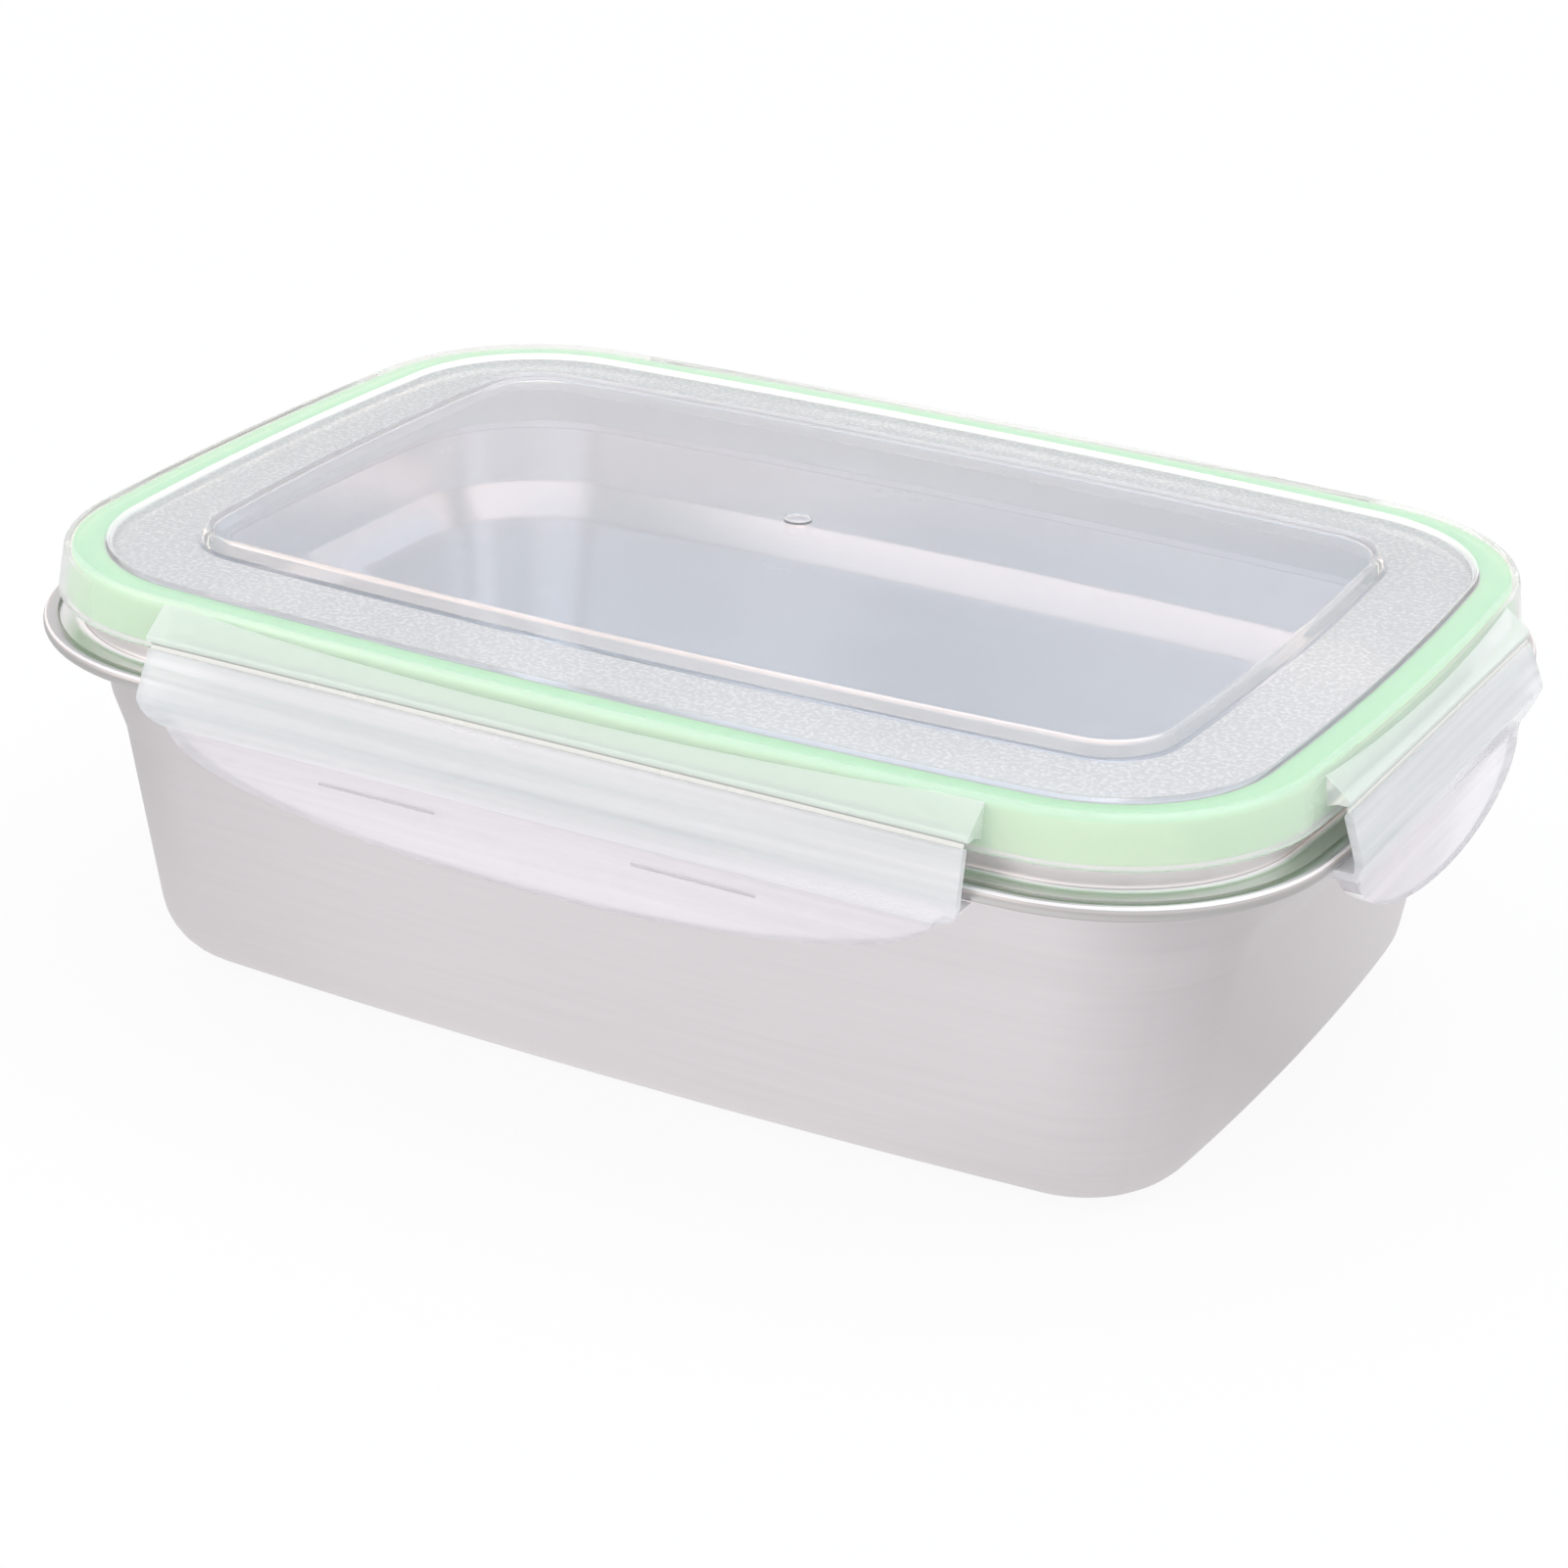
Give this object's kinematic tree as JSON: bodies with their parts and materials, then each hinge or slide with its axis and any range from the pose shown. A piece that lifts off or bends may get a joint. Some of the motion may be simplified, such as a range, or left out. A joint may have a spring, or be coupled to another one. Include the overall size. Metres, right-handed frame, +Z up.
{
  "type": "lunch box",
  "caption": "Rectangular stainless steel lunch box with a clear clip-down lid, a pale green seal ring and hinged side latches that hook under the rolled lip.",
  "frame": {"origin": "middle of the base, on the table", "axes": "+X along the long side, +Y towards the back, +Z up out of the open top"},
  "size_m": [0.2428, 0.1758, 0.0795],
  "materials": {
    "steel": "satin",
    "clear_plastic": "clear, with a frosted band around the panel",
    "milky_plastic": "milky and glossy",
    "silicone": "matte"
  },
  "bodies": {
    "container": {"container": "steel"},
    "lid": {"lid": "clear_plastic", "gasket": "silicone", "living_hinge_front": "milky_plastic", "living_hinge_back": "milky_plastic", "living_hinge_right": "milky_plastic", "living_hinge_left": "milky_plastic"},
    "latch_front": {"latch_front": "milky_plastic"},
    "latch_back": {"latch_back": "milky_plastic"},
    "latch_right": {"latch_right": "milky_plastic"},
    "latch_left": {"latch_left": "milky_plastic"}
  },
  "joints": [
    {"name": "lid_lift", "type": "slide", "parent": "container", "child": "lid", "axis": [0, 0, 1], "range_m": [0, 0.15]},
    {"name": "latch_front_hinge", "type": "hinge", "parent": "lid", "child": "latch_front", "pos_m": [0, -0.0841, 0.07125], "axis": [-1, 0, 0], "range_deg": [0, 105], "deforming": ["living_hinge_front"]},
    {"name": "latch_back_hinge", "type": "hinge", "parent": "lid", "child": "latch_back", "pos_m": [0, 0.0841, 0.07125], "axis": [1, 0, 0], "range_deg": [0, 105], "deforming": ["living_hinge_back"]},
    {"name": "latch_right_hinge", "type": "hinge", "parent": "lid", "child": "latch_right", "pos_m": [0.1176, 0, 0.07125], "axis": [0, -1, 0], "range_deg": [0, 105], "deforming": ["living_hinge_right"]},
    {"name": "latch_left_hinge", "type": "hinge", "parent": "lid", "child": "latch_left", "pos_m": [-0.1176, 0, 0.07125], "axis": [0, 1, 0], "range_deg": [0, 105], "deforming": ["living_hinge_left"]}
  ]
}
